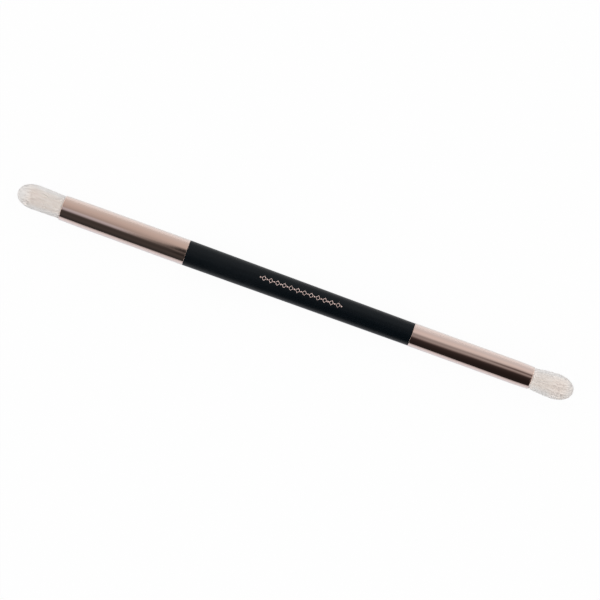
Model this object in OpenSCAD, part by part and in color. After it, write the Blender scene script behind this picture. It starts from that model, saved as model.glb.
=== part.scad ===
// Double ended makeup brush: a tapered turned wooden handle with a drawn metal ferrule
// glued on each end, and a domed tuft of hair set in resin in each ferrule.
// The brush lies along X with its axis on the X axis, +Z is up, and the origin is at
// the middle of its length. The narrower, bullet-shaped head is at the -X end.
// All sizes are in millimetres.

/* [Handle] */
// Length of the handle that shows between the two ferrules
handle_len = 67; // [40:0.1:120]
// How far the handle's surface lies below the left ferrule's at their joint
left_step = 0.02; // [0:0.01:0.15]
// How far the handle's surface lies below the right ferrule's at their joint
right_step = 0.09; // [0:0.01:0.15]
// Radius that eases the handle's edge at each shoulder
shoulder_edge_r = 0.1; // [0.02:0.01:0.14]
// Length of the tenon that goes into each ferrule
tenon_len = 15; // [8:0.5:17]
// Lead-in chamfer on the end of each tenon
tenon_chamfer = 0.6; // [0.2:0.1:1.5]

/* [Left ferrule] */
// Outer diameter of the left ferrule's straight stretch
left_ferrule_d = 7.36; // [5:0.02:14]
// Length of the left ferrule
left_ferrule_len = 36.9; // [34:0.1:60]
// How far the left ferrule's wall is drawn in at its mouth
left_draw = 0.1; // [0.02:0.01:0.3]
// Length over which the left ferrule is drawn in
left_draw_len = 12; // [3:0.5:16]

/* [Right ferrule] */
// Outer diameter of the right ferrule's straight stretch
right_ferrule_d = 6.76; // [5:0.02:14]
// Length of the right ferrule
right_ferrule_len = 35.7; // [34:0.1:60]
// How far the right ferrule's wall is drawn in at its mouth
right_draw = 0.17; // [0.02:0.01:0.3]
// Length over which the right ferrule is drawn in
right_draw_len = 6; // [3:0.5:16]

/* [Ferrule sheet] */
// Wall thickness of both ferrules, which sets the full-round lip at the mouth
ferrule_wall = 0.3; // [0.26:0.01:0.6]
// Radius on the outer edge at the handle end of both ferrules
back_edge_r = 0.1; // [0.05:0.01:0.25]

/* [Left head] */
// Length of the hair that shows beyond the left ferrule
left_head_len = 13.3; // [9:0.1:30]
// How far the hair swells past the bore just outside the left mouth
left_neck_swell = 0.09; // [0:0.01:0.6]
// How far the left head stands past the bore at its widest
left_head_swell = 0.22; // [0:0.01:3]
// Length of the rounded end of the left head
left_dome_len = 5; // [2:0.05:8]

/* [Right head] */
// Length of the hair that shows beyond the right ferrule
right_head_len = 12.4; // [9:0.1:30]
// How far the hair swells past the bore just outside the right mouth
right_neck_swell = 0.26; // [0:0.01:0.6]
// How far the right head stands past the bore at its widest
right_head_swell = 0.74; // [0:0.01:3]
// Length of the rounded end of the right head
right_dome_len = 5.55; // [2:0.05:8]

/* [Hair] */
// Length of the hair inside each ferrule
root_len = 12; // [8:0.5:13]
// Length of the root that is potted in the resin
potted_len = 4; // [2:0.5:6]
// Fullness of both domes: 2 is an ellipse, and more is blunter
dome_power = 2.25; // [2:0.05:3]
// Distance from the mouth over which the hair opens out to its neck
neck_len = 0.3; // [0.1:0.05:1]
// Depth of the grooves between the locks of hair
lock_depth = 0.05; // [0.01:0.01:0.15]
// Locks of hair round a head
lock_count = 13; // [5:1:14]
// Turn of the locks round the head, in degrees for each millimetre of length
lock_twist = 1.5; // [0:0.5:6]

/* [Resin] */
// Thickness of the resin between a potted root and the bore
resin_wall = 0.3; // [0.15:0.05:0.8]
// Thickness of the resin behind the end of a root
resin_floor = 2; // [1:0.5:3]

/* [Fits] */
// Radial gap of each glued fit: tenon, hair and resin in a bore, root in the resin
glue_line = 0.05; // [0.02:0.01:0.1]

/* [Hidden] */

$fn = 96;
total_len = left_head_len + left_ferrule_len + handle_len + right_ferrule_len + right_head_len;
left_shoulder_x = left_head_len + left_ferrule_len - total_len / 2;
right_shoulder_x = left_shoulder_x + handle_len;

edge_steps = 5;
draw_steps = 10;
hair_sides = 96;
bore_rings = 4;
belly_rings = 9;
dome_rings = 8;
lock_fade_len = 2.5;
fine_locks = 6;
fine_share = 0.6;

wood = "#16191c";
metal = "#d3a897";
hair = "#ddd2c8";
resin = "#c9b27a";

// Points along a circular arc in the profile plane
function arc(centre, r, from, to, steps) = [
    for (i = [0 : steps])
        let (a = from + (to - from) * i / steps)
        centre + r * [cos(a), sin(a)]
];

// Rise from 0 to 1 with a level start and end
function ease(x) = x * x * (3 - 2 * x);

// A ferrule's outer radius at a distance in from its mouth
function ferrule_r(d, draw, draw_len, inward) =
    d / 2 - draw * pow(max(0, 1 - inward / draw_len), 2);

// Radius of what is glued into a ferrule at a distance in from its mouth
function filling_r(d, draw, draw_len, inward) =
    ferrule_r(d, draw, draw_len, inward) - ferrule_wall - glue_line;

// Radius of a resin plug, taken at its rim, where the bore round it is narrowest
function plug_r(d, draw, draw_len) = filling_r(d, draw, draw_len, root_len - potted_len);

// Radius of the tenon in a ferrule
function tenon_r(d) = d / 2 - ferrule_wall - glue_line;

// Wave of the locks at an angle round the head and a distance out from the mouth:
// one set of broad locks, and a finer set that leans the other way
function lock_wave(a, out) =
    (cos(lock_count * (a + lock_twist * out))
        + fine_share * cos((lock_count + fine_locks) * (a - lock_twist * out)))
    / (1 + fine_share);

// Rings of a tuft from its root to just short of its tip, each as its distance out from
// the mouth, its radius and the share of the full lock depth that it has
function tuft_rings(d, draw, draw_len, neck_swell, head_swell, head_len, dome_len) =
    let (
        seat = potted_len - root_len,
        potted_r = plug_r(d, draw, draw_len) - resin_wall - glue_line,
        bore_r = ferrule_r(d, draw, draw_len, 0) - ferrule_wall,
        mouth_r = bore_r - glue_line,
        neck_r = bore_r + neck_swell,
        head_r = bore_r + head_swell,
        belly_len = head_len - dome_len
    )
    concat(
        [[-root_len, potted_r, 0], [seat, potted_r, 0]],
        [for (i = [0 : bore_rings])
            let (out = seat * (1 - i / bore_rings))
            [out, filling_r(d, draw, draw_len, -out), 0]],
        [for (i = [1 : belly_rings])
            let (
                out = belly_len * pow(i / belly_rings, 1.5),
                opened = 1 - exp(-out / neck_len)
            )
            [out,
             mouth_r + (neck_r - mouth_r) * opened + (head_r - neck_r) * ease(out / belly_len),
             ease(min(1, out / lock_fade_len))]],
        [for (i = [1 : dome_rings - 1])
            let (a = 90 * i / dome_rings)
            [belly_len + dome_len * sin(a), head_r * pow(cos(a), 2 / dome_power), cos(a)]]
    );

// Puts a piece that stands up +Z from a shoulder on the left end of the handle
module at_left() {
    translate([left_shoulder_x, 0, 0]) rotate([0, -90, 0]) children();
}

// Puts a piece that stands up +Z from a shoulder on the right end of the handle
module at_right() {
    translate([right_shoulder_x, 0, 0]) rotate([0, 90, 0]) children();
}

// Drawn tube with an eased edge at the handle and a full-round lip at the mouth
module ferrule(d, len, draw, draw_len) {
    lip_r = ferrule_wall / 2;
    start = len - draw_len;
    rise = (draw_len - lip_r) / draw_steps;
    lip = [ferrule_r(d, draw, draw_len, lip_r) - lip_r, len - lip_r];
    color(metal)
        rotate_extrude()
            polygon(concat(
                arc([d / 2 - back_edge_r, back_edge_r], back_edge_r, -90, 0, edge_steps),
                [for (i = [0 : draw_steps - 1])
                    let (z = start + rise * i)
                    [ferrule_r(d, draw, draw_len, len - z), z]],
                arc(lip, lip_r, 0, 180, 2 * edge_steps),
                [for (i = [draw_steps - 1 : -1 : 0])
                    let (z = start + rise * i)
                    [ferrule_r(d, draw, draw_len, len - z) - ferrule_wall, z]],
                [[d / 2 - ferrule_wall, 0]]
            ));
}

// Tuft with a potted root, a shank that fills the bore and a domed head with locks,
// lofted through its rings and closed at the root and the tip
module hair_tuft(d, len, draw, draw_len, neck_swell, head_swell, head_len, dome_len) {
    rings = tuft_rings(d, draw, draw_len, neck_swell, head_swell, head_len, dome_len);
    last = len(rings) - 1;
    points = concat(
        [for (ring = rings, i = [0 : hair_sides - 1])
            let (
                a = 360 * i / hair_sides,
                r = ring[1] + lock_depth * ring[2] * (lock_wave(a, ring[0]) - 1) / 2
            )
            [r * cos(a), r * sin(a), len + ring[0]]],
        [[0, 0, len - root_len], [0, 0, len + head_len]]
    );
    root = len(points) - 2;
    tip = len(points) - 1;
    faces = [
        for (i = [0 : hair_sides - 1])
            let (j = (i + 1) % hair_sides)
            each concat(
                [[root, i, j]],
                [for (k = [0 : last - 1])
                    let (low = k * hair_sides, high = low + hair_sides)
                    each [[low + i, high + j, low + j], [low + i, high + i, high + j]]],
                [[last * hair_sides + i, tip, last * hair_sides + j]]
            )
    ];
    color(hair)
        polyhedron(points, faces);
}

// Cup of set resin that holds a tuft's root in the bore
module resin_plug(d, len, draw, draw_len) {
    outer_r = plug_r(d, draw, draw_len);
    floor_z = len - root_len - glue_line;
    color(resin)
        rotate_extrude()
            polygon([
                [0, floor_z - resin_floor],
                [outer_r, floor_z - resin_floor],
                [outer_r, len - root_len + potted_len - glue_line],
                [outer_r - resin_wall, len - root_len + potted_len - glue_line],
                [outer_r - resin_wall, floor_z],
                [0, floor_z]
            ]);
}

// Turned taper with an eased shoulder and a tenon at each end
module handle() {
    left_r = left_ferrule_d / 2 - left_step;
    right_r = right_ferrule_d / 2 - right_step;
    left_end_x = left_shoulder_x - tenon_len;
    right_end_x = right_shoulder_x + tenon_len;
    color(wood)
        rotate([0, 90, 0])
            rotate_extrude()
                polygon(concat(
                    [[0, left_end_x],
                     [tenon_r(left_ferrule_d) - tenon_chamfer, left_end_x],
                     [tenon_r(left_ferrule_d), left_end_x + tenon_chamfer],
                     [tenon_r(left_ferrule_d), left_shoulder_x]],
                    arc([left_r - shoulder_edge_r, left_shoulder_x + shoulder_edge_r],
                        shoulder_edge_r, -90, 0, edge_steps),
                    arc([right_r - shoulder_edge_r, right_shoulder_x - shoulder_edge_r],
                        shoulder_edge_r, 0, 90, edge_steps),
                    [[tenon_r(right_ferrule_d), right_shoulder_x],
                     [tenon_r(right_ferrule_d), right_end_x - tenon_chamfer],
                     [tenon_r(right_ferrule_d) - tenon_chamfer, right_end_x],
                     [0, right_end_x]]
                ));
}

module left_ferrule() {
    at_left() ferrule(left_ferrule_d, left_ferrule_len, left_draw, left_draw_len);
}

module right_ferrule() {
    at_right() ferrule(right_ferrule_d, right_ferrule_len, right_draw, right_draw_len);
}

module left_hair_tuft() {
    at_left()
        hair_tuft(left_ferrule_d, left_ferrule_len, left_draw, left_draw_len,
                  left_neck_swell, left_head_swell, left_head_len, left_dome_len);
}

module right_hair_tuft() {
    at_right()
        hair_tuft(right_ferrule_d, right_ferrule_len, right_draw, right_draw_len,
                  right_neck_swell, right_head_swell, right_head_len, right_dome_len);
}

module left_resin_plug() {
    at_left() resin_plug(left_ferrule_d, left_ferrule_len, left_draw, left_draw_len);
}

module right_resin_plug() {
    at_right() resin_plug(right_ferrule_d, right_ferrule_len, right_draw, right_draw_len);
}

handle();
left_ferrule();
right_ferrule();
left_hair_tuft();
right_hair_tuft();
left_resin_plug();
right_resin_plug();
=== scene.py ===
import math

import bmesh
import bpy
import numpy as np
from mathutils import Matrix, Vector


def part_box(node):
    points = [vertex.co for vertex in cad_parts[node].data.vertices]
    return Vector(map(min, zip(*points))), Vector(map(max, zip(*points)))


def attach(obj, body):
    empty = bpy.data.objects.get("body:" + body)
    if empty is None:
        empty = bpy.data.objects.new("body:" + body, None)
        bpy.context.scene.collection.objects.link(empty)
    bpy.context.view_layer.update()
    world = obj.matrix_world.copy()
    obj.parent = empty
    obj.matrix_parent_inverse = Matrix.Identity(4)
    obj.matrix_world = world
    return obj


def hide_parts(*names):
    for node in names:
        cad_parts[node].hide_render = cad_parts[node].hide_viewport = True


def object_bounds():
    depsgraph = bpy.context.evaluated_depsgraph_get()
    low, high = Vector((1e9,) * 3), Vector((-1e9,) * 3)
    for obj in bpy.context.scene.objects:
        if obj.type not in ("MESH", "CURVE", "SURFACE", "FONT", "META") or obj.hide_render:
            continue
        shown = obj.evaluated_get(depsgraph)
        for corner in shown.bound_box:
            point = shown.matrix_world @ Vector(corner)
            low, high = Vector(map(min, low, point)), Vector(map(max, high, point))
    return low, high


bl_info = {
    "name": "Double Ended Makeup Brush",
    "version": (1, 0, 0),
    "blender": (4, 5, 0),
    "location": "3D View > Sidebar > Makeup Brush",
    "description": "Builds a double ended makeup brush and the white table it lies on",
    "category": "Object",
}

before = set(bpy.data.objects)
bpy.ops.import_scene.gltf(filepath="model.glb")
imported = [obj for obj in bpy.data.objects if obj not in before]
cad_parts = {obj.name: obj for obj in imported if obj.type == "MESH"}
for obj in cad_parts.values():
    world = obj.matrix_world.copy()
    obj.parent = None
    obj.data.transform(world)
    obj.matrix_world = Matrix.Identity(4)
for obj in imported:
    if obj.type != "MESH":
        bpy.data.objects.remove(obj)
CAD_LOW, CAD_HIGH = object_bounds()

MM = 0.001
BODY = "root"

# The two ends of the brush, by the sign of the X direction in which each head points
ENDS = {"left": -1, "right": 1}

BLACK = (0, 0, 0)
WHITE = (1, 1, 1)

# Most values of a noise lie between these two
NOISE_SPAN = (0.3, 0.7)

# Greys under this one take on a ramp's dark tint, the more the darker they are
DARK_GREY = 0.4


def span(node, side):
    """Where a node's inner and outer ends are along X, and its radius."""
    low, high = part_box(node)
    return (*((high.x, low.x) if side == "left" else (low.x, high.x)), high.z)


# Each ferrule's joint, mouth and radius, and each tuft's root, tip and radius
FERRULES = {side: span(f"{side}_ferrule", side) for side in ENDS}
TUFTS = {side: span(f"{side}_hair_tuft", side) for side in ENDS}


def length(name, description, default):
    """A property for a size in metres."""
    return bpy.props.FloatProperty(
        name=name, description=description, default=default, unit="LENGTH", precision=5
    )


def angle(name, description, degrees):
    """A property for an angle, given here in degrees."""
    return bpy.props.FloatProperty(
        name=name, description=description, default=math.radians(degrees), subtype="ANGLE"
    )


def count(name, description, default):
    """A property for a whole number."""
    return bpy.props.IntProperty(name=name, description=description, default=default, min=1)


def colour(name, description, default):
    """A property for a linear colour."""
    return bpy.props.FloatVectorProperty(
        name=name, description=description, default=default, min=0, max=1, subtype="COLOR"
    )


def number(name, description, default):
    """A property for a plain number."""
    return bpy.props.FloatProperty(name=name, description=description, default=default)


def fraction(name, description, default):
    """A property for a fraction, from 0 to 1."""
    return bpy.props.FloatProperty(
        name=name, description=description, default=default, min=0, max=1, subtype="FACTOR"
    )


class BrushSizes(bpy.types.PropertyGroup):
    """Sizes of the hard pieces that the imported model's boxes don't give."""

    wall: length("Ferrule wall", "Thickness of the ferrules' metal", 0.30 * MM)
    joint_edge: length("Joint edge", "Radius on each ferrule's edge at the handle", 0.025 * MM)
    left_draw: length("Left draw", "How far the left ferrule closes in at its mouth", 0.10 * MM)
    left_draw_length: length("Left draw length", "Length that is drawn in, left", 12 * MM)
    right_draw: length("Right draw", "How far the right ferrule closes in at its mouth", 0.17 * MM)
    right_draw_length: length("Right draw length", "Length that is drawn in, right", 6 * MM)
    left_step: length("Left step", "How far the handle lies below the left ferrule", 0.02 * MM)
    right_step: length("Right step", "How far the handle lies below the right ferrule", 0.09 * MM)
    shoulder_edge: length("Shoulder edge", "Radius on the handle's shoulders", 0.10 * MM)
    tenon_chamfer: length("Tenon chamfer", "Lead-in on the end of each tenon", 0.60 * MM)
    glue_line: length("Glue line", "Gap round each tenon and each tuft's root", 0.05 * MM)
    round_steps: count("Round steps", "Faces round the handle and the ferrules", 128)


class HairSizes(bpy.types.PropertyGroup):
    """Form of the two tufts and of their single hairs."""

    hairs: count("Hairs", "Single hairs that are modelled in each tuft", 5000)
    locks: count("Locks", "Locks that the hairs of a tuft gather in", 46)
    left_seed: count("Left seed", "Start of the left tuft's random draws", 2)
    right_seed: count("Right seed", "Start of the right tuft's random draws", 72)
    hair_width: length("Hair width", "Diameter of one hair", 0.10 * MM)
    neck_length: length("Neck length", "Length over which the hair opens past the mouth", 0.3 * MM)
    left_neck: length("Left neck", "How far the hair swells past the left bore", 0.09 * MM)
    left_belly: length("Left belly", "How far the left head swells past the bore", 0.22 * MM)
    left_bow: length("Left bow", "How far the left head bulges to one side", 0.10 * MM)
    left_lean: length("Left lean", "How far the left tip stands to one side", 0.0)
    left_dome: length("Left dome", "Length of the left head's rounded end", 5.0 * MM)
    right_neck: length("Right neck", "How far the hair swells past the right bore", 0.26 * MM)
    right_belly: length("Right belly", "How far the right head swells past the bore", 0.74 * MM)
    right_bow: length("Right bow", "How far the right head bulges to one side", 0.07 * MM)
    right_lean: length("Right lean", "How far the right tip stands to one side", 0.20 * MM)
    right_dome: length("Right dome", "Length of the right head's rounded end", 5.55 * MM)
    dome_power: number("Dome power", "Fullness of both domes: 2 is an ellipse", 2.25)
    depth: length("Depth", "Depth of the outer layer that the hairs fill", 0.15 * MM)
    tip_depth: length("Tip depth", "Depth of that layer at the end of the dome", 0.15 * MM)
    uneven: length("Uneven ends", "How much the hairs differ in length", 0.30 * MM)
    hidden: length("Hidden length", "How far the hairs run on inside the ferrule", 1.5 * MM)
    # Each tuft's end takes its painted sheen and painted shade over these lengths
    left_pale: length("Left pale end", "Length of the left head's paler end", 4.6 * MM)
    right_pale: length("Right pale end", "Length of the right head's paler end", 3.4 * MM)
    potted: length("Potted length", "Length of the root that is set in the resin", 4 * MM)
    potted_step: length("Potted step", "How much narrower the potted root is", 0.35 * MM)


class FoilSizes(bpy.types.PropertyGroup):
    """Size and place of the foil ornament on the handle."""

    start: length("Start", "Left end of the ornament along the brush", -10.55 * MM)
    length: length("Length", "Length of the ornament", 24 * MM)
    height: length("Height", "Height of a lozenge", 1.5 * MM)
    stroke: length("Stroke", "Width of a drawn line of foil", 0.17 * MM)
    dot: length("Dot", "Diameter of the dots between the lozenges", 0.4 * MM)
    proud: length("Proud", "How far the foil stands out of the lacquer", 0.012 * MM)
    turn: angle("Turn", "How far the ornament sits round from the top of the handle", 11.5)
    lozenges: count("Lozenges", "Lozenges in the row", 12)


class BrushColours(bpy.types.PropertyGroup):
    """Colours of the finishes."""

    metal: colour("Metal", "Rose gold of the ferrules", (0.867, 0.628, 0.530))
    metal_deep: colour("Deep metal", "Darker patches of the rose gold", (0.806, 0.563, 0.468))
    metal_edge: colour("Metal at a slant", "Rose gold seen at a low angle", (0.88, 0.84, 0.82))
    lacquer: colour("Lacquer", "Soft-touch black of the handle", (0.0008, 0.0025, 0.0042))
    lacquer_worn: colour("Rubbed lacquer", "Where the lacquer is handled", (0.0016, 0.0035, 0.0054))
    foil: colour("Foil", "Rose gold of the ornament", (0.92, 0.72, 0.66))
    foil_thin: colour("Thin foil", "Where the foil is thin", (0.62, 0.46, 0.42))
    hair_pale: colour("Pale hair", "Palest hairs", (0.968, 0.894, 0.838))
    hair_warm: colour("Warm hair", "Warmest hairs", (0.938, 0.836, 0.756))
    hair_tip: colour("Hair tips", "Rosy tips of the hairs", (0.955, 0.828, 0.755))
    # A pale painted sheen, mixed into the hair where the tuft is seen at a slant and at its end
    hair_painted_sheen: colour("Hair at a slant", "Hair seen at a low angle", (0.935, 0.902, 0.878))
    # How much darker each tuft is over its body, and how much darker at its end, where that darkening
    # is painted shade in place of the body's
    left_dim: fraction("Left dim", "How much darker the left tuft is", 0.06)
    left_end_dim: fraction("Left end dim", "How much darker the left tuft's end is", 0.01)
    right_dim: fraction("Right dim", "How much darker the right tuft is", 0.045)
    right_end_dim: fraction("Right end dim", "How much darker the right tuft's end is", 0.09)
    # How much of the pale painted sheen each tuft's end takes
    left_end_painted_sheen: fraction("Left end paleness", "How pale the left tuft's end is", 0.9)
    right_end_painted_sheen: fraction("Right end paleness", "How pale the right tuft's end is", 0.45)
    resin: colour("Resin", "Set resin inside the ferrules", (0.62, 0.42, 0.18))
    resin_cloud: colour("Cloudy resin", "Cloud in the resin", (0.75, 0.60, 0.35))
    table: colour("Table", "White table top", (0.86, 0.86, 0.86))
    # A cooler, darker painted shade on the near side of the table, shown only in mirrors
    table_front_shade: colour("Table front", "Near side of the table in mirrors", (0.91, 0.90, 0.99))


class StudioSettings(bpy.types.PropertyGroup):
    """Camera, table and light."""

    lens: bpy.props.FloatProperty(
        name="Lens", description="Focal length in millimetres", default=200, unit="CAMERA"
    )
    height: length("Height", "Camera above the brush's axis", 0.933)
    roll: angle("Roll", "Turn of the camera about its line of sight", 20)
    aim_x: length("Aim X", "Where the camera looks along the brush", 1.945 * MM)
    aim_y: length("Aim Y", "Where the camera looks across the brush", -1.59 * MM)
    table_size: length("Table size", "Side of the square table top", 6.0)
    end_light: number("End light", "Brightness of the soft boxes past the ends", 1.64)
    front_end_light: number("Front end light", "Brightness of those boxes on the near side", 2.0)
    low_end_light: number("Low end light", "Brightness at the foot of those boxes", 0.45)
    right_gain: number("Right gain", "How much brighter the right box is", 1.09)


SETTINGS = {
    "brush_sizes": BrushSizes,
    "hair_sizes": HairSizes,
    "foil_sizes": FoilSizes,
    "brush_colours": BrushColours,
    "studio": StudioSettings,
}


class Nodes:
    """Adds nodes to one empty tree and links them."""

    def __init__(self, tree):
        self.tree = tree
        tree.nodes.clear()

    def put(self, socket, value):
        """Links a socket to another one, or sets its value."""
        if isinstance(value, bpy.types.NodeSocket):
            self.tree.links.new(value, socket)
        elif socket.type == "RGBA":
            socket.default_value = (*value[:3], 1)
        else:
            socket.default_value = value

    def add(self, kind, inputs=None, **settings):
        """A new node, with its settings and its inputs by name."""
        node = self.tree.nodes.new(kind)
        for name, value in settings.items():
            setattr(node, name, value)
        for name, value in (inputs or {}).items():
            self.put(node.inputs[name], value)
        return node

    def place(self, axis):
        """Where a point of the piece is along one axis."""
        here = self.add("ShaderNodeTexCoord").outputs["Object"]
        return self.add("ShaderNodeSeparateXYZ", {"Vector": here}).outputs[axis]

    def math(self, operation, *values):
        """The result of one operation on numbers."""
        node = self.add("ShaderNodeMath", operation=operation)
        for socket, value in zip(node.inputs, values):
            self.put(socket, value)
        return node.outputs[0]

    def product(self, first, *others):
        """All the values multiplied."""
        result = first
        for value in others:
            result = self.math("MULTIPLY", result, value)
        return result

    def mix(self, share, first, second, kind="MIX"):
        """The first colour with a share of the second one."""
        node = self.add("ShaderNodeMix", data_type="RGBA", blend_type=kind)
        colours = [socket for socket in node.inputs if socket.type == "RGBA"]
        self.put(node.inputs["Factor"], share)
        self.put(colours[0], first)
        self.put(colours[1], second)
        return next(socket for socket in node.outputs if socket.type == "RGBA")

    def ramp(self, value, stops, tint=WHITE, dark_tint=WHITE):
        """Tinted greys through (place, grey) stops, with a tint of its own for the dark ones."""
        node = self.add("ShaderNodeValToRGB", {"Fac": value})
        elements = node.color_ramp.elements
        while len(elements) < len(stops):
            elements.new(1)
        for element, (place, grey) in zip(elements, stops):
            element.position = place
            bright = min(grey / DARK_GREY, 1)
            parts = [low + (high - low) * bright for low, high in zip(dark_tint, tint)]
            element.color = (*(grey * part for part in parts), 1)
        return node.outputs["Color"]

    def range(self, value, low, high, new_low=0.0, new_high=1.0, kind="SMOOTHSTEP"):
        """The value carried from one range to another, and held past its ends."""
        return self.add(
            "ShaderNodeMapRange",
            {"Value": value, "From Min": low, "From Max": high, "To Min": new_low, "To Max": new_high},
            interpolation_type=kind,
        ).outputs["Result"]

    def band(self, value, middle, full, none, strength=1.0):
        """A strength that holds up to one distance from a middle and is gone at another."""
        off = self.math("ABSOLUTE", self.math("SUBTRACT", value, middle))
        return self.range(off, full, none, strength, 0.0)

    def noise(self, per_mm, detail=2.0, roughness=0.5):
        """Noise on the piece, with its scale along each axis in waves per millimetre."""
        here = self.add("ShaderNodeTexCoord").outputs["Object"]
        scale = tuple(part / MM for part in per_mm)
        place = self.add("ShaderNodeMapping", {"Vector": here, "Scale": scale}).outputs["Vector"]
        return self.add(
            "ShaderNodeTexNoise",
            {"Vector": place, "Scale": 1.0, "Detail": detail, "Roughness": roughness},
        ).outputs["Fac"]

    def bump(self, height, strength, distance, normal=None):
        """The normal of a surface that this height stands out of."""
        inputs = {"Height": height, "Strength": strength, "Distance": distance}
        if normal is not None:
            inputs["Normal"] = normal
        return self.add("ShaderNodeBump", inputs).outputs["Normal"]

    def surface(self, shader):
        """Ends a material's tree with its shader."""
        self.add("ShaderNodeOutputMaterial", {"Surface": shader.outputs[0]})

    def principled(self, inputs):
        """Ends a material's tree with a principled shader."""
        self.surface(self.add("ShaderNodeBsdfPrincipled", inputs))


def new_material(name):
    """A material with an empty node tree."""
    material = bpy.data.materials.new(name)
    material.use_nodes = True
    return material, Nodes(material.node_tree)


def rose_gold_tube(colours):
    """Polished rose gold, with faint drawing lines along the tube and slow waves in its wall."""
    material, nodes = new_material("rose_gold_tube")
    patches = nodes.noise((0.05, 0.2, 0.2))
    lines = nodes.noise((0.25, 9.0, 9.0), detail=3.0)
    waves = nodes.noise((0.07, 0.12, 0.12), detail=0.0)
    wavy = nodes.bump(waves, strength=0.5, distance=0.03 * MM)
    facing = nodes.add("ShaderNodeLayerWeight", {"Blend": 0.5}).outputs["Facing"]
    slant = nodes.range(facing, 0.1, 0.9, kind="LINEAR")
    gold = nodes.mix(patches, colours.metal, colours.metal_deep)
    nodes.principled({
        "Base Color": nodes.mix(slant, gold, colours.metal_edge),
        "Metallic": 1.0,
        "Roughness": nodes.range(lines, *NOISE_SPAN, 0.02, 0.045),
        "Normal": nodes.bump(lines, strength=0.12, distance=0.004 * MM, normal=wavy),
    })
    return material


def soft_touch_lacquer(colours):
    """Matt black lacquer with a fine dry grain, rubbed in patches."""
    material, nodes = new_material("soft_touch_lacquer")
    grain = nodes.noise((14.0, 14.0, 14.0), detail=3.0)
    handled = nodes.noise((0.12, 0.3, 0.3), detail=3.0)
    rubbed = nodes.range(handled, *NOISE_SPAN, 0.25, 0.29)

    # The left part of the handle is drier, and turns into the right one over this far each way
    halfway = 20 * MM
    dryness = 0.07
    drier = nodes.range(nodes.place("X"), -halfway, halfway, dryness, 0.0)
    nodes.principled({
        "Base Color": nodes.mix(handled, colours.lacquer, colours.lacquer_worn),
        "Roughness": nodes.math("ADD", rubbed, drier),
        "Specular IOR Level": 0.19,
        "Normal": nodes.bump(grain, strength=0.25, distance=0.006 * MM),
    })
    return material


def hot_foil(colours):
    """Rose gold foil pressed on the lacquer, thinner in places."""
    material, nodes = new_material("hot_foil")
    worn = nodes.noise((2.2, 2.2, 2.2), detail=4.0, roughness=0.65)
    thin = nodes.range(worn, 0.35, 0.7)
    nodes.principled({
        "Base Color": nodes.mix(thin, colours.foil, colours.foil_thin),
        "Metallic": 1.0,
        "Roughness": nodes.range(worn, *NOISE_SPAN, 0.42, 0.55),
        "Normal": nodes.bump(worn, strength=0.3, distance=0.01 * MM),
    })
    return material


# How much of a tuft's end, from its tip, takes the full painted sheen and painted shade
END_FULL_STRENGTH = 0.3


def tuft_colour(nodes, colours, side, pale_length, shade, sheen_share=0.0):
    """The colour of one tuft from that of its hair, with a pale painted sheen at its rim and its end,
    and darker over its body and by painted shade at its end.
    """
    tip = TUFTS[side][1]
    inward = nodes.math("ABSOLUTE", nodes.math("SUBTRACT", nodes.place("X"), tip))
    ended = nodes.range(inward, END_FULL_STRENGTH * pale_length, pale_length, 1.0, 0.0)
    # The tuft's end takes a pale painted sheen, as its rim does where it is seen at a slant
    end_sheen_share = nodes.math("MULTIPLY", ended, getattr(colours, f"{side}_end_painted_sheen"))
    pale = nodes.math("MAXIMUM", end_sheen_share, sheen_share)
    # How much darker the tuft is, from its body to its end, where the darkening is painted shade
    dims = [getattr(colours, f"{side}_{name}") for name in ("dim", "end_dim")]
    dim = nodes.range(ended, 0.0, 1.0, *dims)
    return nodes.mix(dim, nodes.mix(pale, shade, colours.hair_painted_sheen), BLACK)


# How rosy a hair gets over the outer part of its length, and the slants over which a pale painted
# sheen is mixed in
ROSY_TIP = (0.6, 1.0, 0.0, 0.8)
PAINTED_SHEEN_SLANTS = (0.05, 0.5)


def soft_hair(colours, side, pale_length):
    """Pale hair, each hair of its own tone, rosy at its tip, with a pale painted sheen at the tuft's
    rim and end and painted shade at its end.
    """
    material, nodes = new_material(f"{side}_soft_hair")
    tone = nodes.add("ShaderNodeAttribute", attribute_name="tone").outputs["Fac"]
    along = nodes.add("ShaderNodeAttribute", attribute_name="along").outputs["Fac"]
    patches = nodes.noise((0.25, 0.9, 0.9))
    warmth = nodes.math("MULTIPLY", nodes.math("ADD", tone, patches), 0.5)
    shade = nodes.mix(nodes.range(warmth, 0.25, 0.75), colours.hair_pale, colours.hair_warm)
    # Where the tuft's outline is seen at a slant, a pale painted sheen is mixed in
    outward = nodes.add("ShaderNodeAttribute", attribute_name="outward").outputs["Vector"]
    slant = nodes.add("ShaderNodeLayerWeight", {"Blend": 0.5, "Normal": outward}).outputs["Facing"]
    rosy = nodes.mix(nodes.range(along, *ROSY_TIP), shade, colours.hair_tip)
    sheen_share = nodes.range(slant, *PAINTED_SHEEN_SLANTS)
    nodes.principled({
        "Base Color": tuft_colour(nodes, colours, side, pale_length, rosy, sheen_share),
        "Roughness": 0.6,
        "Specular IOR Level": 0.3,
        "Sheen Weight": 0.15,
    })
    return material


def packed_hair(colours, side, pale_length):
    """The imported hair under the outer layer, lined along its length."""
    material, nodes = new_material(f"{side}_packed_hair")
    strokes = nodes.noise((0.5, 11.0, 11.0), detail=3.0)
    shade = nodes.mix(nodes.range(strokes, 0.35, 0.65), colours.hair_warm, colours.hair_pale)
    nodes.principled({
        "Base Color": tuft_colour(nodes, colours, side, pale_length, shade),
        "Roughness": 0.7,
        "Specular IOR Level": 0.2,
        "Normal": nodes.bump(strokes, strength=0.6, distance=0.05 * MM),
    })
    return material


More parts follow.
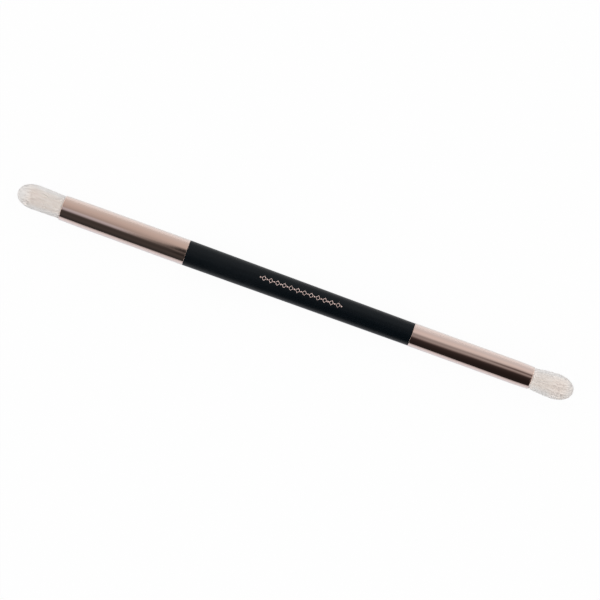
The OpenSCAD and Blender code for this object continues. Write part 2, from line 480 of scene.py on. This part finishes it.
def amber_resin(colours):
    """Set resin, clear amber with a little cloud in it."""
    material, nodes = new_material("amber_resin")
    cloud = nodes.noise((1.2, 1.2, 1.2), detail=3.0)
    nodes.principled({
        "Base Color": nodes.mix(cloud, colours.resin, colours.resin_cloud),
        "Roughness": nodes.range(cloud, *NOISE_SPAN, 0.12, 0.25),
        "Coat Weight": 0.4,
    })
    return material


def white_table(colours):
    """White table top that shows white to the camera and in reflections and keeps a shadow."""
    material, nodes = new_material("white_table")
    path = nodes.add("ShaderNodeLightPath").outputs

    # In mirrors the near side of the table takes a cooler, darker painted shade
    halfway = 4 * MM
    in_front = nodes.range(nodes.place("Y"), -halfway, halfway, 1.0, 0.0)
    mirrored_front_shade = nodes.math("MULTIPLY", in_front, path["Is Glossy Ray"])
    tint = nodes.mix(mirrored_front_shade, WHITE, colours.table_front_shade)

    # Shares of plain white over the lit top, to the camera and in mirrors
    seen_white = 0.96
    mirrored_white = 0.4
    lit = nodes.add("ShaderNodeBsdfDiffuse", {"Color": colours.table})
    white = nodes.add("ShaderNodeEmission", {"Color": tint, "Strength": 1.0})
    seen = nodes.math("MAXIMUM", path["Is Camera Ray"], path["Is Transmission Ray"])
    plain = nodes.math("MULTIPLY", seen, seen_white)
    white_share = nodes.math("MULTIPLY_ADD", path["Is Glossy Ray"], mirrored_white, plain)
    top = nodes.add("ShaderNodeMixShader", {"Fac": white_share})
    nodes.put(top.inputs[1], lit.outputs[0])
    nodes.put(top.inputs[2], white.outputs[0])

    # A sheen on the top that only mirrors show
    gloss = nodes.add("ShaderNodeBsdfGlossy", {"Color": WHITE, "Roughness": 0.1})
    sheen = nodes.add("ShaderNodeFresnel", {"IOR": 1.45}).outputs["Fac"]
    shader = nodes.add(
        "ShaderNodeMixShader", {"Fac": nodes.math("MULTIPLY", sheen, path["Is Glossy Ray"])}
    )
    nodes.put(shader.inputs[1], top.outputs[0])
    nodes.put(shader.inputs[2], gloss.outputs[0])
    nodes.surface(shader)
    return material


def ring_edges(bm, x, radius):
    """The edges of the ring at a place along X and a radius."""
    near = 0.001 * MM

    def on_ring(vert):
        return abs(vert.co.x - x) < near and abs(math.hypot(vert.co.y, vert.co.z) - radius) < near

    return [edge for edge in bm.edges if all(on_ring(vert) for vert in edge.verts)]


def spun(profile, steps, closed=False):
    """A bmesh turned about the X axis from a profile of (x, radius) points."""
    bm = bmesh.new()
    verts = [bm.verts.new((x, 0, radius)) for x, radius in profile]
    pairs = list(zip(verts, verts[1:])) + ([(verts[-1], verts[0])] if closed else [])
    edges = [bm.edges.new(pair) for pair in pairs]
    bmesh.ops.spin(
        bm, geom=verts + edges, cent=(0, 0, 0), axis=(1, 0, 0), dvec=(0, 0, 0),
        angle=math.tau, steps=steps, use_merge=True, use_duplicate=False,
    )
    bmesh.ops.remove_doubles(bm, verts=bm.verts, dist=0.0001 * MM)
    bmesh.ops.recalc_face_normals(bm, faces=bm.faces)
    return bm


def round_rings(bm, rings, radius, segments):
    """Rounds the edges of the given rings, each an (x, radius) pair."""
    edges = [edge for x, ring_radius in rings for edge in ring_edges(bm, x, ring_radius)]
    bmesh.ops.bevel(
        bm, geom=edges, offset=radius, offset_type="OFFSET", segments=segments, profile=0.5,
        affect="EDGES", clamp_overlap=True, material=-1,
    )


def to_mesh(name, bm):
    """Ends a bmesh as a mesh."""
    mesh = bpy.data.meshes.new(name)
    bm.to_mesh(mesh)
    bm.free()
    return mesh


def put_piece(name, mesh, material):
    """Puts a mesh in the scene as a piece of the brush."""
    mesh.materials.append(material)
    mesh.shade_smooth()
    piece = bpy.data.objects.new(name, mesh)
    bpy.context.scene.collection.objects.link(piece)
    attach(piece, BODY)
    return piece


def drawn_radius(sizes, side, inward):
    """A ferrule's outer radius at a distance in from its mouth."""
    radius = FERRULES[side][2]
    draw = getattr(sizes, f"{side}_draw")
    draw_length = getattr(sizes, f"{side}_draw_length")
    return radius - draw * max(0, 1 - inward / draw_length) ** 2


# Rings along the stretch of a ferrule that is drawn in
DRAW_STEPS = 24


def build_ferrule(side, sizes, material):
    """A tube with its mouth drawn in to a round lip and its joint edge rounded."""
    joint, mouth, radius = FERRULES[side]
    way = ENDS[side]
    whole = abs(mouth - joint)
    straight = whole - getattr(sizes, f"{side}_draw_length")
    lip_edge = 0.3 * sizes.wall

    # A ring behind each rounded edge keeps the rounding short
    joint_hold = 3 * sizes.joint_edge
    lip_hold = whole - 0.8 * sizes.wall
    stations = [0, joint_hold]
    stations += [straight + (lip_hold - straight) * i / DRAW_STEPS for i in range(DRAW_STEPS + 1)]
    stations.append(whole)
    outer = [(joint + way * at, drawn_radius(sizes, side, whole - at)) for at in stations]
    inner = [(x, r - sizes.wall) for x, r in reversed(outer)]
    bm = spun(outer + inner, sizes.round_steps, closed=True)
    mouth_radius = drawn_radius(sizes, side, 0)
    lip = [(mouth, mouth_radius), (mouth, mouth_radius - sizes.wall)]
    round_rings(bm, [(joint, radius)], sizes.joint_edge, segments=6)
    round_rings(bm, lip, lip_edge, segments=5)
    piece = put_piece(f"{side}_ferrule_tube", to_mesh("ferrule", bm), material)
    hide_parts(f"{side}_ferrule")


def handle_radius(sizes, x):
    """The handle's radius at a place between the ferrules."""
    left_x, _, left_tube = FERRULES["left"]
    right_x, _, right_tube = FERRULES["right"]
    left, right = left_tube - sizes.left_step, right_tube - sizes.right_step
    return left + (right - left) * (x - left_x) / (right_x - left_x)


def build_handle(sizes, material):
    """The turned taper with a tenon at each end."""
    low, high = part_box("handle")
    left_x, _, left_tube = FERRULES["left"]
    right_x, _, right_tube = FERRULES["right"]
    inset = sizes.wall + sizes.glue_line
    chamfer = sizes.tenon_chamfer
    hold = 2 * sizes.shoulder_edge
    shown = [left_x, left_x + hold, right_x - hold, right_x]
    profile = [
        (low.x, 0),
        (low.x, left_tube - inset - chamfer),
        (low.x + chamfer, left_tube - inset),
        (left_x, left_tube - inset),
        *[(x, handle_radius(sizes, x)) for x in shown],
        (right_x, right_tube - inset),
        (high.x - chamfer, right_tube - inset),
        (high.x, right_tube - inset - chamfer),
        (high.x, 0),
    ]
    bm = spun(profile, sizes.round_steps)
    shoulders = [(x, handle_radius(sizes, x)) for x in (left_x, right_x)]
    round_rings(bm, shoulders, sizes.shoulder_edge, segments=4)
    piece = put_piece("turned_handle", to_mesh("handle", bm), material)
    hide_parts("handle")


class TuftForm:
    """The outline of one tuft, by the distance out from its ferrule's mouth."""

    def __init__(self, side, sizes, hair):
        root, tip, _ = TUFTS[side]
        self.mouth = FERRULES[side][1]
        self.way = ENDS[side]
        self.root = abs(self.mouth - root)
        self.length = abs(tip - self.mouth)
        bore = drawn_radius(sizes, side, 0) - sizes.wall
        self.start = bore - sizes.glue_line
        self.neck = bore + getattr(hair, f"{side}_neck")
        self.full = bore + getattr(hair, f"{side}_belly")
        self.dome = getattr(hair, f"{side}_dome")
        self.belly = self.length - self.dome
        self.neck_length = hair.neck_length
        self.dome_power = hair.dome_power
        self.bow = getattr(hair, f"{side}_bow")
        self.lean = getattr(hair, f"{side}_lean")

    def over(self, out):
        """How far into the dome a place is, from 0 to 1."""
        return np.clip((out - self.belly) / self.dome, 0, 1)

    def shank(self, out):
        """Radius of the outermost hairs, had they no dome."""
        opened = 1 - np.exp(-np.maximum(out, 0) / self.neck_length)
        rise = np.clip(out / self.belly, 0, 1)
        eased = rise * rise * (3 - 2 * rise)
        return self.start + (self.neck - self.start) * opened + (self.full - self.neck) * eased

    def aside(self, out):
        """How far the middle of the tuft stands aside, towards +Y."""
        reach = np.clip(out / self.length, 0, 1)
        return self.bow * np.sin(math.pi * reach) + self.lean * reach ** 2

    def outline(self, out):
        """Radius of the tuft's outline."""
        return self.shank(out) * (1 - self.over(out) ** 2) ** (1 / self.dome_power)

    def outward(self, out, around):
        """The direction in which the tuft's outside faces, taken as that of an ellipsoid."""
        over = self.over(out)
        level = np.sqrt(1 - over ** 2) / self.full
        along = self.way * over / self.dome
        normal = np.stack([along, level * np.sin(around), level * np.cos(around)], axis=-1)
        return normal / np.linalg.norm(normal, axis=-1, keepdims=True)


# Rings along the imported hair's shank, degrees between those on its dome, and its faces round
SHANK_STEPS = 13
DOME_STEP = 5
PACKED_STEPS = 64


def build_packed_hair(side, form, hair, material):
    """The solid middle of a tuft with its potted root, just inside the layer of single hairs."""
    # Three quarters of the layer of single hairs lie over it, and at its tip the whole layer
    inset = 0.75 * hair.depth
    body = form.length - hair.tip_depth
    seat = hair.potted - form.root
    potted = form.start - hair.potted_step
    dome = np.sin(np.radians(np.arange(0, 90, DOME_STEP)))
    over = np.concatenate([np.zeros(SHANK_STEPS), dome])
    straight = np.linspace(0, form.belly, SHANK_STEPS, endpoint=False)
    shank = np.concatenate([straight, np.full(len(dome), form.belly)])
    outs = shank + (body - form.belly) * over
    radii = form.outline(shank + form.dome * over) - inset - (hair.tip_depth - inset) * over
    shown = list(zip(outs, radii))
    profile = [(-form.root, 0), (-form.root, potted), (seat, potted), (seat, form.start)]
    profile += [(-inset, form.start)] + [(out, r) for out, r in shown if r > 0] + [(body, 0)]
    points = [(form.mouth + form.way * out, r) for out, r in profile]
    bm = spun(points, PACKED_STEPS)
    for vert in bm.verts:
        vert.co.y += form.aside(form.way * (vert.co.x - form.mouth))
    piece = put_piece(f"{side}_packed_hair", to_mesh("packed_hair", bm), material)
    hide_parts(f"{side}_hair_tuft")


def one_hair(rings):
    """One straight three-sided hair along Z, a unit wide, with a ring at each whole height."""
    bm = bmesh.new()
    bmesh.ops.create_circle(bm, segments=3, radius=1, cap_ends=True)
    loop = bm.edges[:]
    for _ in range(rings - 1):
        grown = bmesh.ops.extrude_edge_only(bm, edges=loop)["geom"]
        verts = {part for part in grown if isinstance(part, bmesh.types.BMVert)}
        edges = [part for part in grown if isinstance(part, bmesh.types.BMEdge)]
        loop = [edge for edge in edges if verts.issuperset(edge.verts)]
        bmesh.ops.translate(bm, verts=list(verts), vec=(0, 0, 1))
    bmesh.ops.contextual_create(bm, geom=loop)
    bmesh.ops.recalc_face_normals(bm, faces=bm.faces)
    return to_mesh("one_hair", bm)


# Where the rings of a single hair sit between its root and its tip, and how wide they are
HAIR_STEPS = np.array([0, 0.12, 0.35, 0.6, 0.85, 1.0])
HAIR_TAPER = np.array([1, 1, 1, 1, 0.9, 0.4])

# How far hairs stray round the tuft at their roots and, on top of that, at their tips, in radians
ROOT_STRAY = 0.02
TIP_STRAY = 0.05

# Parts of the dome's length: how far below it the shortest hairs end, how long the innermost
# hairs are and how much longer the outermost ones are
ENDS_BELOW = 0.12
SHORTEST = 1.2
LONGER_OUTSIDE = 2.5

# How much the hairs close in over the dome
CLOSE_IN = 0.5

# How unevenly the locks are spaced, how much deeper a lock can lie, and how far its hairs lean
# to its middle
LOCK_SCATTER = 0.35
LOCK_DEPTH = 0.09 * MM
LOCK_LEAN = 0.35

# The layer of hairs has this part of its depth at the mouth, and all of it this far out
MOUTH_DEPTH = 0.2
FULL_DEPTH_AT = 2 * MM


def gather_locks(theta, hair, draw):
    """For each hair, the turn to the middle of its lock, and that lock's depth and tone."""
    middles = np.sort(draw.random(hair.locks)) * LOCK_SCATTER + np.arange(hair.locks)
    middles *= math.tau / hair.locks
    depths = draw.random(hair.locks) * LOCK_DEPTH
    tones = draw.random(hair.locks)
    turn = np.mod(theta, math.tau)
    gap = np.mod(turn[:, None] - middles[None, :] + math.pi, math.tau) - math.pi
    lock = np.abs(gap).argmin(axis=1)
    return -gap[np.arange(len(theta)), lock], depths[lock], tones[lock]


def lay_hairs(form, hair, draw):
    """Each hair's rings, by how far out, round and from the axis they are, and its lock's tone."""
    total = hair.hairs
    index = np.arange(total)

    # Ends are spread evenly over the dome, by the sunflower rule
    golden = math.pi * (3 - math.sqrt(5))
    theta = index * golden + draw.normal(0, ROOT_STRAY, total)
    ended = (1 + ENDS_BELOW) * (index + 0.5) / total - ENDS_BELOW
    end = form.belly + form.dome * ended - hair.uneven * draw.random(total) ** 2
    ended = np.maximum(ended, 0)
    depth = hair.depth * draw.random(total) ** 1.5
    share = (1 - ended ** 2) ** (1 / form.dome_power) / (1 - CLOSE_IN * ended ** 2)

    # Hairs of one lock lean towards its middle and share its height and tone
    to_middle, lock_depth, lock_tone = gather_locks(theta, hair, draw)
    begin = np.maximum(-hair.hidden, end - form.dome * (SHORTEST + LONGER_OUTSIDE * share ** 4))
    out = begin[:, None] + (end - begin)[:, None] * HAIR_STEPS[None, :]
    reach = np.clip(out / form.length, 0, 1)
    stray = draw.normal(0, TIP_STRAY, total)
    around = theta[:, None] + to_middle[:, None] * LOCK_LEAN * reach ** 2 + stray[:, None] * reach
    sunk = (depth + lock_depth)[:, None] * np.clip(out / FULL_DEPTH_AT, MOUTH_DEPTH, 1)
    radius = share[:, None] * form.shank(out) * (1 - CLOSE_IN * form.over(out) ** 2) - sunk
    return out, around, np.maximum(radius - hair.hair_width / 2, 0), lock_tone


def put_values(mesh, name, kind, field, values):
    """Gives each point of a mesh a value that its material reads."""
    data = mesh.attributes.new(name, kind, "POINT").data
    data.foreach_set(field, values.astype(np.float32).ravel())


def build_hairs(side, form, hair, material):
    """The single hairs of a tuft: a layer round its sides and the ends that make its dome."""
    draw = np.random.default_rng(getattr(hair, f"{side}_seed"))
    total = hair.hairs
    *rings, lock_tone = lay_hairs(form, hair, draw)

    template = one_hair(len(HAIR_STEPS))
    corner = np.array([vert.co[:] for vert in template.vertices])
    ring = np.rint(corner[:, 2]).astype(int)
    corner_angle = np.arctan2(corner[:, 1], corner[:, 0]) * form.way
    bm = bmesh.new()
    for _ in range(total):
        bm.from_mesh(template)
    mesh = to_mesh("hairs", bm)
    bpy.data.meshes.remove(template)

    # Each corner stands off the middle of its ring, and each hair is turned by its own angle
    out, around, radius = (values[:, ring] for values in rings)
    angles = corner_angle[None, :] + draw.random(total)[:, None] * math.tau
    stand_off = (HAIR_TAPER * hair.hair_width / 2)[ring][None, :]
    x = form.mouth + form.way * out
    y = radius * np.sin(around) + stand_off * np.cos(angles) + form.aside(out)
    z = radius * np.cos(around) + stand_off * np.sin(angles)
    mesh.vertices.foreach_set("co", np.stack([x, y, z], axis=-1).astype(np.float32).ravel())
    tone = 0.5 * lock_tone + 0.5 * draw.random(total)
    put_values(mesh, "tone", "FLOAT", "value", np.repeat(tone, len(ring)))
    put_values(mesh, "along", "FLOAT", "value", np.tile(HAIR_STEPS[ring], total))
    # The tuft's outward facing, which places the painted sheen at its rim
    put_values(mesh, "outward", "FLOAT_VECTOR", "vector", form.outward(out, around))
    mesh.update()
    put_piece(f"{side}_hairs", mesh, material)


def build_foil(sizes, foil, material):
    """A row of drawn lozenges with dots between them, pressed round the handle."""
    bm = bmesh.new()
    pitch = foil.length / foil.lozenges
    half_height = foil.height / 2
    gap = foil.dot / 4
    half_width = pitch / 2 - (foil.dot / 2 + gap)
    for i in range(foil.lozenges):
        middle = foil.start + pitch * (i + 0.5)
        made = bmesh.ops.create_circle(bm, cap_ends=True, segments=4, radius=1)["verts"]
        bmesh.ops.scale(bm, vec=(half_width, half_height, 1), verts=made)
        bmesh.ops.translate(bm, vec=(middle, 0, 0), verts=made)
        face = made[0].link_faces[0]
        bmesh.ops.inset_region(bm, faces=[face], thickness=foil.stroke, use_boundary=True)
        bmesh.ops.delete(bm, geom=[face], context="FACES_ONLY")
    bmesh.ops.subdivide_edges(bm, edges=bm.edges[:], cuts=3, use_grid_fill=True)
    for i in range(foil.lozenges + 1):
        dot = bmesh.ops.create_circle(bm, cap_ends=True, segments=14, radius=foil.dot / 2)["verts"]
        bmesh.ops.translate(bm, vec=(foil.start + pitch * i, 0, 0), verts=dot)
    grown = bmesh.ops.extrude_face_region(bm, geom=bm.faces[:])["geom"]
    raised = [part for part in grown if isinstance(part, bmesh.types.BMVert)]
    bmesh.ops.translate(bm, vec=(0, 0, 2 * foil.proud), verts=raised)
    for vert in bm.verts:
        x, across, up = vert.co
        base = handle_radius(sizes, x)
        turn = foil.turn + across / base
        radius = base - foil.proud + up
        vert.co = (x, radius * math.sin(turn), radius * math.cos(turn))
    bmesh.ops.recalc_face_normals(bm, faces=bm.faces)
    put_piece("foil_ornament", to_mesh("foil_ornament", bm), material)


def build_table(studio, material):
    """The table top, level with the lowest point of the brush."""
    bm = bmesh.new()
    bmesh.ops.create_grid(bm, x_segments=1, y_segments=1, size=studio.table_size / 2)
    bmesh.ops.translate(bm, vec=(0, 0, CAD_LOW.z), verts=bm.verts)
    mesh = to_mesh("table", bm)
    mesh.materials.append(material)
    table = bpy.data.objects.new("table", mesh)
    bpy.context.scene.collection.objects.link(table)


# Brightness of the tent round the brush, by degrees from overhead towards -Y, which is the
# lower side of the picture: a soft box behind and a black card in front, past each end
TENT = {
    "left": [
        (-90, 0.66), (-64, 0.61), (-45, 0.58), (-26, 0.49), (-17, 0.43), (-8, 0.43), (0, 0.47),
        (8, 0.42), (14, 0.27), (20, 0.10), (27, 0.058), (36, 0.049), (54, 0.058), (66, 0.050),
        (76, 0.036), (90, 0.034),
    ],
    "right": [
        (-90, 0.75), (-72, 0.67), (-60, 0.685), (-48, 0.72), (-38, 0.735), (-29, 0.65),
        (-19, 0.45), (-10, 0.41), (0, 0.42), (9, 0.29), (19, 0.085), (29, 0.030), (60, 0.019),
        (90, 0.016),
    ],
}

# Tints of the tent's right side, of the black card there and of a streak at the far left
COOL = (1.0, 1.06, 1.115)
CARD_TINT = (1.16, 0.96, 0.96)
STREAK_TINT = (1.09, 1.19, 1.37)

# The brush mirrors other things at each place along it. A range below is (from, to, value
# before, value after) in the X direction of what is seen. A band is (middle, distance up to
# which it is full, distance at which it is gone, strength), in degrees from overhead

# From the left side of the tent to its right one
TO_RIGHT = (-0.020, 0.035)

# At the right the tent is turned back by up to 15 degrees, and what lies more than 3 degrees
# in front is drawn closer to overhead
TURNED_BACK = (0.041, 0.068, 0.0, 15.0)
DRAWN_CLOSER = (0.052, 0.062, 0.0, 0.3)
CLOSER_FROM = 3.0

# The cool streak
STREAK = (5.0, 5.0, 20.0, 1.0)
STREAK_END = (-0.0575, -0.0535, 1.0, 0.0)

# The camera, a dark ellipse: its middle and half width in the X direction, its half height in
# degrees, how far it is turned about the brush and then back, how dark it is by the part of its
# half size, and how much of that is left past the left joint
CAMERA_MIDDLE = -0.010
CAMERA_HALF_WIDTH = 0.035
CAMERA_HALF_HEIGHT = 26
CAMERA_TURN = (-0.045, -0.0375, -8.0, 4.5)
CAMERA_TURN_BACK = (-0.0382, -0.0364, 0.0, -2.0)
CAMERA_EDGE = (0.80, 1.30, 0.97, 0.0)
CAMERA_PALER = (-0.0382, -0.0364, 1.0, 0.96)

# The camera's strap, which turns from dark to pale, and a small card, both gone past the joint
STRAP = (7.0, 3.0, 16.0, 0.25)
STRAP_START = (-0.0565, -0.0515)
STRAP_TO_PALE = (-0.044, -0.040, 1.0, -0.4)
SMALL_CARD = (33.0, 4.0, 14.0, 0.45)
SMALL_CARD_START = (-0.044, -0.039)
PAST_JOINT = (-0.036, -0.030, 1.0, 0.0)

# The camera's arm: how much it dims the tent along it, its middle in degrees, how its distance
# from there is scaled to make it narrower, and its edge
ARM = [
    (0.0, 0.0), (0.034, 0.24), (0.047, 0.29), (0.053, 0.25), (0.058, 0.32), (0.063, 0.66),
    (0.072, 0.70),
]
ARM_COLOUR = (0.05, 0.02, 0.015)
ARM_END = 0.08
ARM_MIDDLE = -9.0
ARM_NARROWER = (0.043, 0.057, 0.65, 0.9)
ARM_EDGE = (2.0, 13.0, 1.0, 0.0)

# The soft boxes past both ends, by the X direction to either side: where they start, where
# their part at the back starts, and where their foot does
BOX_START = (0.30, 0.45)
BACK_START = (0.22, 0.30)
FOOT_START = (0.60, 0.92)

# The degrees at which the part at the back ends, and those from the boxes' back to their front
BACK_END = (-65.0, -45.0, 1.0, 0.0)
BACK_TO_FRONT = (-30.0, 40.0)

# The X directions from the left box to the right one
LEFT_TO_RIGHT = (-0.3, 0.3)


def tent_light(nodes, x, level, degrees):
    """The tent's own light, from its left side with a cool streak to its right side."""
    # The stops run from -90 to 90 degrees, and a ramp from 0 to 1
    place = nodes.math("MULTIPLY_ADD", degrees, 1 / 180, 0.5)
    stops = {side: [((at + 90) / 180, grey) for at, grey in TENT[side]] for side in ENDS}
    left = nodes.ramp(place, stops["left"])
    right = nodes.ramp(place, stops["right"], COOL, CARD_TINT)
    streak = nodes.product(nodes.band(level, *STREAK), nodes.range(x, *STREAK_END))
    left = nodes.mix(streak, left, STREAK_TINT, kind="MULTIPLY")
    return nodes.mix(nodes.range(x, *TO_RIGHT), left, right)


def camera_shade(nodes, x, degrees):
    """How much the camera overhead darkens the tent."""
    across = nodes.math(
        "MULTIPLY_ADD", x, 1 / CAMERA_HALF_WIDTH, -CAMERA_MIDDLE / CAMERA_HALF_WIDTH
    )
    turn_back = nodes.range(x, *CAMERA_TURN_BACK, kind="LINEAR")
    turn = nodes.math("ADD", nodes.range(x, *CAMERA_TURN), turn_back)
    along = nodes.product(nodes.math("ADD", degrees, turn), 1 / CAMERA_HALF_HEIGHT)
    squares = nodes.math("ADD", nodes.math("POWER", across, 2.0), nodes.math("POWER", along, 2.0))
    shade = nodes.range(nodes.math("SQRT", squares), *CAMERA_EDGE, kind="LINEAR")
    return nodes.product(shade, nodes.range(x, *CAMERA_PALER))


def strap_shade(nodes, x, level):
    """How much the camera's strap and the small card beside it darken the tent."""
    past_joint = nodes.range(x, *PAST_JOINT)
    strap = nodes.product(
        nodes.band(level, *STRAP), nodes.range(x, *STRAP_START), nodes.range(x, *STRAP_TO_PALE),
        past_joint,
    )
    card = nodes.product(
        nodes.band(level, *SMALL_CARD), nodes.range(x, *SMALL_CARD_START), past_joint
    )
    return nodes.math("ADD", strap, card)


def arm_shade(nodes, x, degrees):
    """How much the arm that holds the camera covers the tent."""
    off_arm = nodes.math("ABSOLUTE", nodes.math("SUBTRACT", degrees, ARM_MIDDLE))
    off_arm = nodes.product(off_arm, nodes.range(x, *ARM_NARROWER))
    reach = nodes.range(x, 0.0, ARM_END, kind="LINEAR")
    shades = nodes.ramp(reach, [(at / ARM_END, share) for at, share in ARM])
    return nodes.product(nodes.range(off_arm, *ARM_EDGE), shades)


def light_studio(scene, studio):
    """A soft light tent with a black card in front, the camera overhead and a box past each end."""
    world = bpy.data.worlds.new("light_tent")
    scene.world = world
    world.use_nodes = True
    nodes = Nodes(world.node_tree)
    way = nodes.add("ShaderNodeTexCoord").outputs["Generated"]
    x, y, z = nodes.add("ShaderNodeSeparateXYZ", {"Vector": way}).outputs

    # Degrees from overhead, as they are and as the tent is turned and drawn closer
    turn = nodes.math("ARCTAN2", nodes.math("MULTIPLY", y, -1.0), z)
    level = nodes.math("MULTIPLY", turn, math.degrees(1))
    past = nodes.math("MAXIMUM", nodes.math("SUBTRACT", level, CLOSER_FROM), 0.0)
    closer = nodes.product(past, nodes.range(x, *DRAWN_CLOSER))
    turned = nodes.math("ADD", level, nodes.range(x, *TURNED_BACK, kind="LINEAR"))
    degrees = nodes.math("ADD", turned, closer)

    overhead = nodes.mix(strap_shade(nodes, x, level), tent_light(nodes, x, level, degrees), BLACK)
    overhead = nodes.mix(camera_shade(nodes, x, degrees), overhead, BLACK)
    overhead = nodes.mix(arm_shade(nodes, x, degrees), overhead, ARM_COLOUR)

    aside = nodes.math("ABSOLUTE", x)
    back = nodes.product(nodes.range(aside, *BACK_START), nodes.range(degrees, *BACK_END))
    past_end = nodes.math("MAXIMUM", nodes.range(aside, *BOX_START), back)
    box = nodes.range(level, *BACK_TO_FRONT, studio.end_light, studio.front_end_light)
    box = nodes.product(box, nodes.range(x, *LEFT_TO_RIGHT, 1.0, studio.right_gain))
    box = nodes.mix(nodes.range(aside, *FOOT_START), box, [studio.low_end_light] * 3)
    light = nodes.mix(past_end, overhead, box)

    path = nodes.add("ShaderNodeLightPath").outputs
    seen = nodes.mix(path["Is Camera Ray"], light, WHITE)
    sky = nodes.add("ShaderNodeBackground", {"Color": seen, "Strength": 1.0})
    nodes.add("ShaderNodeOutputWorld", {"Surface": sky.outputs[0]})


def place_camera(scene, studio):
    """A long lens straight above the brush, turned so that the brush slopes in the picture."""
    camera = bpy.data.cameras.new("camera")
    camera.lens = studio.lens
    camera.clip_end = 2 * studio.table_size
    holder = bpy.data.objects.new("camera", camera)
    holder.location = (studio.aim_x, studio.aim_y, studio.height)
    holder.rotation_euler = (0, 0, studio.roll)
    scene.collection.objects.link(holder)
    scene.camera = holder


class BuildHandle(bpy.types.Operator):
    """Turn the handle"""

    bl_idname = "makeup_brush.handle"
    bl_label = "Handle"

    def execute(self, context):
        scene = context.scene
        build_handle(scene.brush_sizes, soft_touch_lacquer(scene.brush_colours))
        return {"FINISHED"}


class BuildFerrules(bpy.types.Operator):
    """Draw the two ferrules"""

    bl_idname = "makeup_brush.ferrules"
    bl_label = "Ferrules"

    def execute(self, context):
        scene = context.scene
        metal = rose_gold_tube(scene.brush_colours)
        for side in ENDS:
            build_ferrule(side, scene.brush_sizes, metal)
        return {"FINISHED"}


class BuildTufts(bpy.types.Operator):
    """Set the hair in both ferrules"""

    bl_idname = "makeup_brush.tufts"
    bl_label = "Tufts"

    def execute(self, context):
        scene = context.scene
        colours, hair = scene.brush_colours, scene.hair_sizes
        for side in ENDS:
            form = TuftForm(side, scene.brush_sizes, hair)
            pale_length = getattr(hair, f"{side}_pale")
            build_packed_hair(side, form, hair, packed_hair(colours, side, pale_length))
            build_hairs(side, form, hair, soft_hair(colours, side, pale_length))
        return {"FINISHED"}


class FinishResin(bpy.types.Operator):
    """Give the resin inside the ferrules its finish"""

    bl_idname = "makeup_brush.resin"
    bl_label = "Resin"

    def execute(self, context):
        resin = amber_resin(context.scene.brush_colours)
        for side in ENDS:
            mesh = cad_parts[f"{side}_resin_plug"].data
            mesh.materials.clear()
            mesh.materials.append(resin)
        return {"FINISHED"}


class BuildFoil(bpy.types.Operator):
    """Press the foil ornament on the handle"""

    bl_idname = "makeup_brush.foil"
    bl_label = "Foil ornament"

    def execute(self, context):
        scene = context.scene
        build_foil(scene.brush_sizes, scene.foil_sizes, hot_foil(scene.brush_colours))
        return {"FINISHED"}


class BuildStage(bpy.types.Operator):
    """Set the table, the light and the camera"""

    bl_idname = "makeup_brush.stage"
    bl_label = "Stage"

    def execute(self, context):
        scene = context.scene
        build_table(scene.studio, white_table(scene.brush_colours))
        light_studio(scene, scene.studio)
        place_camera(scene, scene.studio)
        scene.view_settings.view_transform = "Standard"
        return {"FINISHED"}


OPERATORS = [BuildHandle, BuildFerrules, BuildTufts, FinishResin, BuildFoil, BuildStage]


class BrushPanel(bpy.types.Panel):
    """Lists the brush's operators and settings"""

    bl_idname = "VIEW3D_PT_makeup_brush"
    bl_label = "Makeup Brush"
    bl_space_type = "VIEW_3D"
    bl_region_type = "UI"
    bl_category = "Makeup Brush"

    def draw(self, context):
        for operator in OPERATORS:
            self.layout.operator(operator.bl_idname)
        for name, group in SETTINGS.items():
            box = self.layout.box()
            box.label(text=group.bl_rna.name)
            for setting in group.__annotations__:
                box.prop(getattr(context.scene, name), setting)


def register():
    """Adds the settings, the operators and the panel."""
    for group in SETTINGS.values():
        bpy.utils.register_class(group)
    for name, group in SETTINGS.items():
        setattr(bpy.types.Scene, name, bpy.props.PointerProperty(type=group))
    for operator in OPERATORS:
        bpy.utils.register_class(operator)
    bpy.utils.register_class(BrushPanel)


def unregister():
    """Takes them away again."""
    bpy.utils.unregister_class(BrushPanel)
    for operator in reversed(OPERATORS):
        bpy.utils.unregister_class(operator)
    for name, group in SETTINGS.items():
        delattr(bpy.types.Scene, name)
        bpy.utils.unregister_class(group)


def main():
    """Builds the brush on its table."""
    register()
    bpy.ops.makeup_brush.handle()
    bpy.ops.makeup_brush.ferrules()
    bpy.ops.makeup_brush.tufts()
    bpy.ops.makeup_brush.resin()
    bpy.ops.makeup_brush.foil()
    bpy.ops.makeup_brush.stage()


if __name__ == "__main__":
    main()
